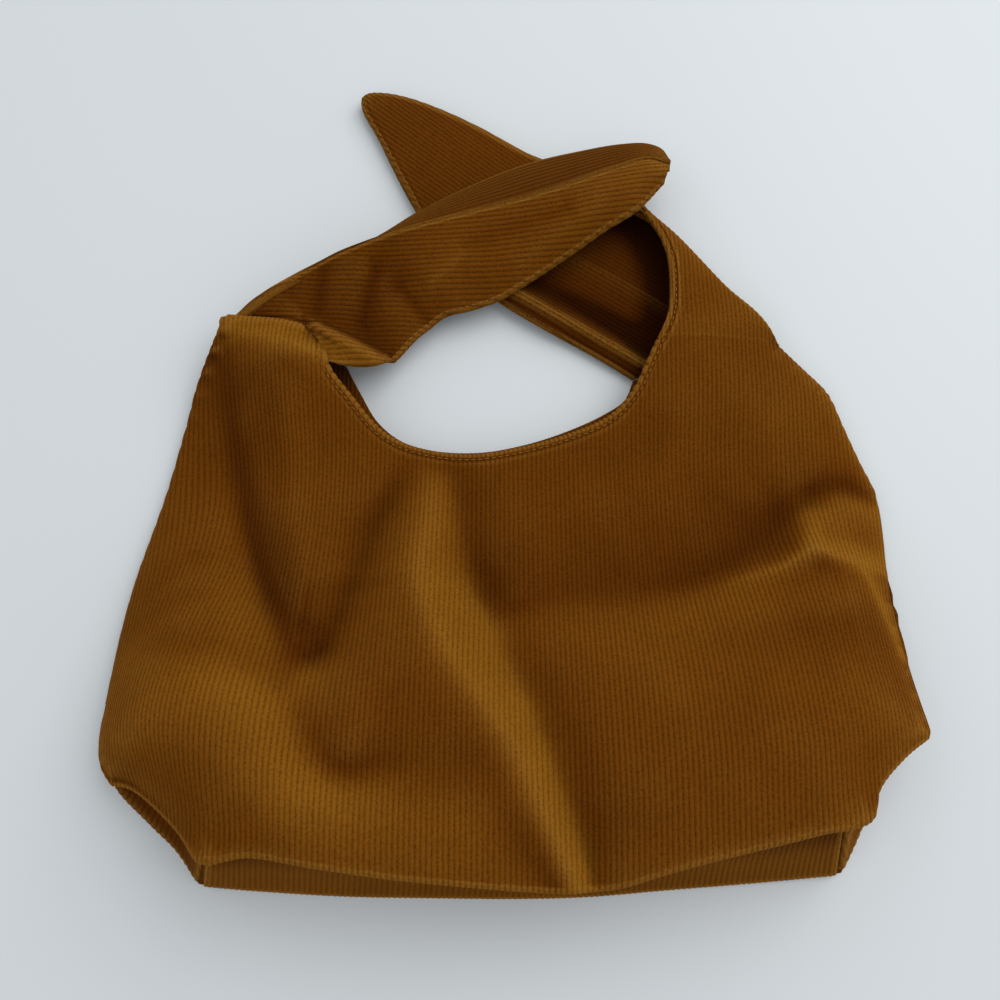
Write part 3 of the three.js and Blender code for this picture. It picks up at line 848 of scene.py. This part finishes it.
def strap_face(first, second, rows, columns, arch, rolls=(strap_roll, strap_roll), end_roll=0.01):
    """Face between two lines along a strap, arched between them and rounded down at its edges and end."""
    one = curve(first, rows)[:, None]
    two = curve(second, rows)[:, None]
    w = np.linspace(0, 1, columns)[None, :, None]
    face = one + (two - one) * w
    across = np.linalg.norm(two - one, axis=2)
    for from_edge, roll in ((across * w[..., 0], rolls[0]), (across * (1 - w[..., 0]), rolls[1])):
        lap = np.clip(1 - from_edge / roll, 0, 1)
        face[..., 2] -= roll * (1 - np.sqrt(1 - lap ** 2))
    face[..., 2] += (arch * 4 * w * (1 - w))[..., 0]
    lap = np.clip(1 - np.linalg.norm(face - face[-1:], axis=2) / end_roll, 0, 1)
    face[..., 2] = np.maximum(face[..., 2] - end_roll * (1 - np.sqrt(1 - lap ** 2)), strap_roll / 2)
    return face


def away_from(line, count, face):
    """Distance in plan of a face's points from a smooth line."""
    return nearest_on(curve(line, count), face[..., 0], face[..., 1])[0]


right_rolls = (strap_roll, outer_roll)
right_front = strap_face(right_neck, right_out, right_rows, right_columns, 2, right_rolls, tail_roll)
right_x = right_front[..., 0]
right_y = right_front[..., 1]
root = ramp(right_y, hinge_y, hinge_y + 32)
lapped = 0.05 - 0.15 * (1 - ramp(right_y, hinge_y - 3, hinge_y))
shoulder = front_height(right_x, right_y) + lapped
right_front[..., 2] = shoulder * (1 - root) + right_front[..., 2] * root
from_neck = away_from(right_neck, 80, right_front)
turned = ramp(np.linspace(0, 1, right_rows), 0.45, 0.6)[:, None]
dip = np.exp(-((from_neck - stitch_inset) / stitch_dip_width) ** 2)
right_front[..., 2] -= (stitch_dip - 0.3 * turned) * dip
grain = right_x * tail_grain[0] + right_y * tail_grain[1]
right_wale = (right_x * (1 - turned) + grain * turned) / wale_pitch
right_back_face = strap_face(right_back, right_under, 241, 233, 0)
back_x = right_back_face[..., 0]
back_y = right_back_face[..., 1]
from_band = away_from(right_back, 60, right_back_face)
in_loop = ramp(back_x, -30, 5)
band_rise = 6 * np.exp(-((from_band - 8) / 6) ** 2)
right_back_face[..., 2] += in_loop * (band_rise + 2.5 * ramp(from_band, 26, 44))
grain = back_x * inside_grain[0] + back_y * inside_grain[1]
right_back_wale = grain / wale_pitch
# Painted shadow inside the right strap's loop: darkest in the hollow behind the raised band and under the
# front half's neck edge.
under_neck = away_from(right_neck, 80, right_back_face)
deepest = 0.6 + 0.6 * ramp(back_x, 15, 60)
band_shade = deepest * np.exp(-((from_band - 21) / 6) ** 2)
inside_lean = -0.6 - in_loop * (band_shade + 1 - ramp(under_neck, 3, 20))
inside_lean = np.maximum(inside_lean - 0.1 * (1 - ramp(from_band, 11, 16)), -1.35)
# Painted light and shade on the right strap: the front panel's at its root, a painted highlight along its
# outer fold, and painted shade on the tail.
root_lean = painted_front_shading(right_x, right_y) * (1 - root)
to_fold = away_from(right_out, 80, right_front)
root_lean = root_lean + 0.4 * np.exp(-(to_fold / 7) ** 2) * root * (1 - turned)
right_lean = root_lean - 0.4 * turned

right_strap_front = add_cloth("right_strap_front", right_front, right_wale, outer_cloth, lean=right_lean)
right_strap_front_lining = add_lining(
    "right_strap_front_inside", right_front[6:-6, 4:-8], right_wale[6:-6, 4:-8], lining_cloth,
    behind_thickness, (1, 1))
right_strap_back_lining = add_cloth(
    "right_strap_back_inside", right_back_face, right_back_wale, lining_cloth, lean=inside_lean,
    ribs=inside_ribs)
right_strap_back = add_lining(
    "right_strap_back", right_back_face, right_back_wale, outer_cloth, behind_thickness, (4, 4))
for piece, node, slot, flat, area in (
    (right_strap_front, "right_strap_front_half", "corduroy", (0.062, 0.28), 0.0085),
    (right_strap_front_lining, "right_strap_front_lining", "lining_corduroy", (0.055, 0.27), 0.0068),
    (right_strap_back_lining, "right_strap_back_lining", "lining_corduroy", (0.09, 0.27), 0.0162),
    (right_strap_back, "right_strap_back_half", "corduroy", (0.09, 0.27), 0.0162),
):
    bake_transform(piece)
    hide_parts(node)

# Left strap: folded back over its shoulder and laid across the right one. Its centre seam stands up
# as a ridge, with the front half below it and the back half falling away behind.
left_low = [
    (-88, 41, 21), (-74, 37.5, 20), (-60, 39, 17), (-52, 47, 15), (-42, 58, 14), (-31, 67, 14),
    (-19, 70, 15), (-5, 75, 15), (9, 83, 16), (32, 98, 19), (50, 110, 23), (67, 121, 25), (81, 137, 24)]
left_top = [
    (-139, 62, 25), (-128, 70, 29), (-112, 79, 31), (-81, 93, 33), (-54, 103, 35), (-25, 111, 36),
    (8, 120, 37), (31, 128, 37), (54, 138, 35), (72, 146, 31), (84, 146, 26)]
left_far = [
    (-137, 61, 8), (-122, 68, 7), (-95, 86, 9), (-75, 101, 14), (-50, 122, 16), (-20, 141, 14),
    (11, 155, 14), (38, 161, 16), (60, 164, 18), (73, 163, 20), (81, 158, 22), (84.5, 150, 23)]
crest_line = [(-139.5, 60.5), (-107, 56.5), (-92, 50), (-89.5, 40)]
crest_ridge = [(-141, 62), (-107, 59.5), (-91, 53), (-75, 47), (-59, 40)]
strap_folds = [
    [(-93, 66, -1.2, 7, 7), (-90, 84, -1.2, 7, 7)],
    [(-71, 62, -1.8, 6, 9), (-64, 84, -1.8, 6, 9)],
    [(-52, 78, -1.8, 6, 8), (-36, 62, -1.8, 6, 8)],
    [(-36, 80, 1.5, 9, 9), (-22, 92, 1.5, 9, 9)],
    [(8, 92, 1.2, 9, 9), (46, 118, 1.2, 9, 9)],
    [(-20, 97, -1.2, 8, 8), (30, 116, -1.2, 8, 8)],
]
seam_drop = 1.5
left_rows = 377
strap_columns = 121

left_front = strap_face(left_top, left_low, left_rows, strap_columns, 4)
crest = curve(crest_line, strap_columns)
crest_z = front_height(crest[:, 0], crest[:, 1]) - 3
crest = np.concatenate([crest, crest_z[:, None]], axis=1)
held = 1 - ramp(np.linspace(0, 1, left_rows), 0, 0.12)[:, None, None]
left_front = left_front + (crest - left_front[0]) * held
left_x = left_front[..., 0]
left_y = left_front[..., 1]
ridge_line = curve(crest_ridge, 40)
from_ridge, behind, _ = nearest_on(ridge_line, left_x, left_y)
from_ridge = from_ridge * np.sign(behind)
at_root = 1 - ramp(left_x, -70, -40)
on_flap = ramp(left_x, -100, -90) * (1 - ramp(left_x, -60, -50))
fall = ramp(from_ridge + 3.5 * (1 - on_flap), 0.5, 7) * (1 - ramp(from_ridge, 7, 42))
left_front[..., 2] -= 6.5 * at_root * fall
left_front[..., 2] += 5 * on_flap * np.exp(-((from_ridge + 1) / 6) ** 2)
# Painted light and shade on the left strap: painted shade behind the shoulder ridge, painted light on the
# flap, lighter on rising folds and darker in dips.
left_lean = -0.12 - 0.35 * ramp(from_ridge, 0, 4) * (1 - ramp(left_x, -65, -25))
left_lean = left_lean + 0.9 * on_flap * ramp(-from_ridge, -1, 1.5)
strap_cells = fold_height(strap_folds, *cell_places)
dips = soft_read(strap_cells, left_x, left_y)
left_front[..., 2] += dips
left_lean = left_lean + 0.1 * dips
reach = left_x + 130
left_front_wale = (left_y + 0.12 * reach - 0.4 * reach ** 2 / 380) / wale_pitch
seam_line = left_front[::8, 3] + (0, 0, strap_roll - seam_drop)
left_rear = strap_face(left_far, seam_line, left_rows, 41, 2)
left_rear_wale = np.repeat(np.linspace(0, 10, 41)[None], left_rows, axis=0)
left_strap_front = add_cloth("left_strap_front", left_front, left_front_wale, outer_cloth, lean=left_lean)
left_strap_front_lining = add_lining(
    "left_strap_front_inside", left_front, left_front_wale, lining_cloth, behind_thickness, (4, 4))
# Painted shade on the left strap's back half, darker still near its root.
rear_lean = -0.75 - 0.3 * (1 - ramp(left_rear[..., 0], -90, -50))
left_strap_back = add_cloth("left_strap_back", left_rear, left_rear_wale, outer_cloth, lean=rear_lean)
left_strap_back_lining = add_lining(
    "left_strap_back_inside", left_rear, left_rear_wale, lining_cloth, behind_thickness, (4, 4))
for piece, node, slot, flat, area in (
    (left_strap_front, "left_strap_front_half", "corduroy", (0.055, 0.25), 0.009),
    (left_strap_front_lining, "left_strap_front_lining", "lining_corduroy", (0.055, 0.25), 0.009),
    (left_strap_back, "left_strap_back_half", "corduroy", (0.04, 0.25), 0.0066),
    (left_strap_back_lining, "left_strap_back_lining", "lining_corduroy", (0.04, 0.25), 0.0066),
):
    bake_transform(piece)
    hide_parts(node)

# Top stitching: one row of thread a few millimetres inside the neck edge, carried on along the right
# strap's edge to its tail, and one row along the lower edge of the left strap.
stitch_spacing = 3.3
stitch_length = 2.5
thread_width = 0.5
stitch_lift = 0.25
thread_colour = (0.27, 0.115, 0.018, 1)


def twisted_thread(name, colour):
    """Thread material with the fine turns of its plies."""
    material = plain_material(name, colour, 0.75)
    nodes, link = material.node_tree.nodes, material.node_tree.links.new
    place = nodes.new("ShaderNodeTexCoord")
    plies = nodes.new("ShaderNodeTexNoise")
    plies.inputs["Scale"].default_value = 2600
    plies.inputs["Detail"].default_value = 2
    link(place.outputs["Object"], plies.inputs["Vector"])
    tones = nodes.new("ShaderNodeMix")
    tones.data_type = "RGBA"
    link(plies.outputs[0], tones.inputs["Factor"])
    tones.inputs["A"].default_value = tuple(0.55 * c for c in colour[:3]) + (1,)
    tones.inputs["B"].default_value = tuple(1.4 * c for c in colour[:3]) + (1,)
    link(tones.outputs["Result"], nodes["Principled BSDF"].inputs["Base Color"])
    bump = nodes.new("ShaderNodeBump")
    bump.inputs["Distance"].default_value = 0.1 * MM
    link(plies.outputs[0], bump.inputs["Height"])
    link(bump.outputs["Normal"], nodes["Principled BSDF"].inputs["Normal"])
    nodes["Principled BSDF"].inputs["Specular IOR Level"].default_value = 0.1
    return material


def stitch_tree():
    """Geometry nodes: one short stitch of thread at every step along the edges of a mesh."""
    tree = bpy.data.node_groups.new("stitch_row", "GeometryNodeTree")
    tree.interface.new_socket("Geometry", in_out="INPUT", socket_type="NodeSocketGeometry")
    for name in ("Spacing", "Length", "Width"):
        tree.interface.new_socket(name, in_out="INPUT", socket_type="NodeSocketFloat")
    tree.interface.new_socket("Thread", in_out="INPUT", socket_type="NodeSocketMaterial")
    tree.interface.new_socket("Geometry", in_out="OUTPUT", socket_type="NodeSocketGeometry")
    nodes, link = tree.nodes, tree.links.new
    given = nodes.new("NodeGroupInput")
    path = nodes.new("GeometryNodeMeshToCurve")
    steps = nodes.new("GeometryNodeResampleCurve")
    steps.mode = "LENGTH"
    tangent = nodes.new("GeometryNodeInputTangent")
    turn = nodes.new("FunctionNodeAlignRotationToVector")
    turn.axis = "X"
    bead = nodes.new("GeometryNodeMeshUVSphere")
    bead.inputs["Segments"].default_value = 7
    bead.inputs["Rings"].default_value = 5
    bead.inputs["Radius"].default_value = 0.5
    size = nodes.new("ShaderNodeCombineXYZ")
    stitches = nodes.new("GeometryNodeInstanceOnPoints")
    real = nodes.new("GeometryNodeRealizeInstances")
    finish = nodes.new("GeometryNodeSetMaterial")
    result = nodes.new("NodeGroupOutput")
    for source, out, target, into in (
        (given, "Geometry", path, "Mesh"), (path, "Curve", steps, "Curve"),
        (given, "Spacing", steps, "Length"), (tangent, "Tangent", turn, "Vector"),
        (given, "Length", size, "X"), (given, "Width", size, "Y"),
        (given, "Width", size, "Z"), (steps, "Curve", stitches, "Points"),
        (bead, "Mesh", stitches, "Instance"), (turn, "Rotation", stitches, "Rotation"),
        (size, "Vector", stitches, "Scale"), (stitches, "Instances", real, "Geometry"),
        (real, "Geometry", finish, "Geometry"), (given, "Thread", finish, "Material"),
        (finish, "Geometry", result, "Geometry"),
    ):
        link(source.outputs[out], target.inputs[into])
    return tree


stitch_row = stitch_tree()
thread = twisted_thread("brown_thread", thread_colour)


def add_stitches(name, rows):
    """One mesh of stitches along several rows of points in millimetres."""
    points = []
    edges = []
    for row in rows:
        first = len(points)
        points += (np.asarray(row) * MM).tolist()
        edges += [(k, k + 1) for k in range(first, len(points) - 1)]
    path = bpy.data.meshes.new(name + "_path")
    path.from_pydata(points, edges, [])
    piece = bpy.data.objects.new(name, path)
    scene.collection.objects.link(piece)
    sewing = piece.modifiers.new("sewing", "NODES")
    sewing.node_group = stitch_row
    given = [item for item in stitch_row.interface.items_tree if item.in_out == "INPUT"]
    sockets = {item.name: item.identifier for item in given}
    sewing[sockets["Spacing"]] = stitch_spacing * MM
    sewing[sockets["Length"]] = stitch_length * MM
    sewing[sockets["Width"]] = thread_width * MM
    sewing[sockets["Thread"]] = thread
    evaluated = piece.evaluated_get(bpy.context.evaluated_depsgraph_get())
    sewn = bpy.data.meshes.new_from_object(evaluated)
    piece.modifiers.remove(sewing)
    piece.data = sewn
    sewn.name = name
    sewn.polygons.foreach_set("use_smooth", np.ones(len(sewn.polygons), bool))
    bpy.data.meshes.remove(path)
    return piece


def along_edge(face, column_of, first, last):
    """Points of a face along one of its edges, a stitch's inset from it."""
    strip = face[first:last]
    edge = strip[:, 0 if column_of > 0 else -1]
    far = np.linalg.norm(strip - edge[:, None], axis=2)
    pick = np.argmin(np.abs(far - stitch_inset), axis=1)
    row = strip[np.arange(len(strip)), pick] + (0, 0, stitch_lift)
    return curve(row[::6], 200)


neck = curve(front_neck, 240)
neck_run = np.gradient(neck, axis=0)
neck_run /= np.linalg.norm(neck_run, axis=1, keepdims=True)
neck_row = neck + (stitch_inset - neck_roll) * np.stack([neck_run[:, 1], -neck_run[:, 0]], axis=1)
neck_z = front_height(neck_row[:, 0], neck_row[:, 1]) - 0.1
neck_row = np.concatenate([neck_row, neck_z[:, None]], axis=1)[12:]
neck_stitches = add_stitches("neck_stitches", [neck_row, along_edge(right_front, 1, 14, -8)])
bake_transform(neck_stitches)
left_stitches = add_stitches("left_strap_stitches", [along_edge(left_front, -1, 60, -4)])
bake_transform(left_stitches)
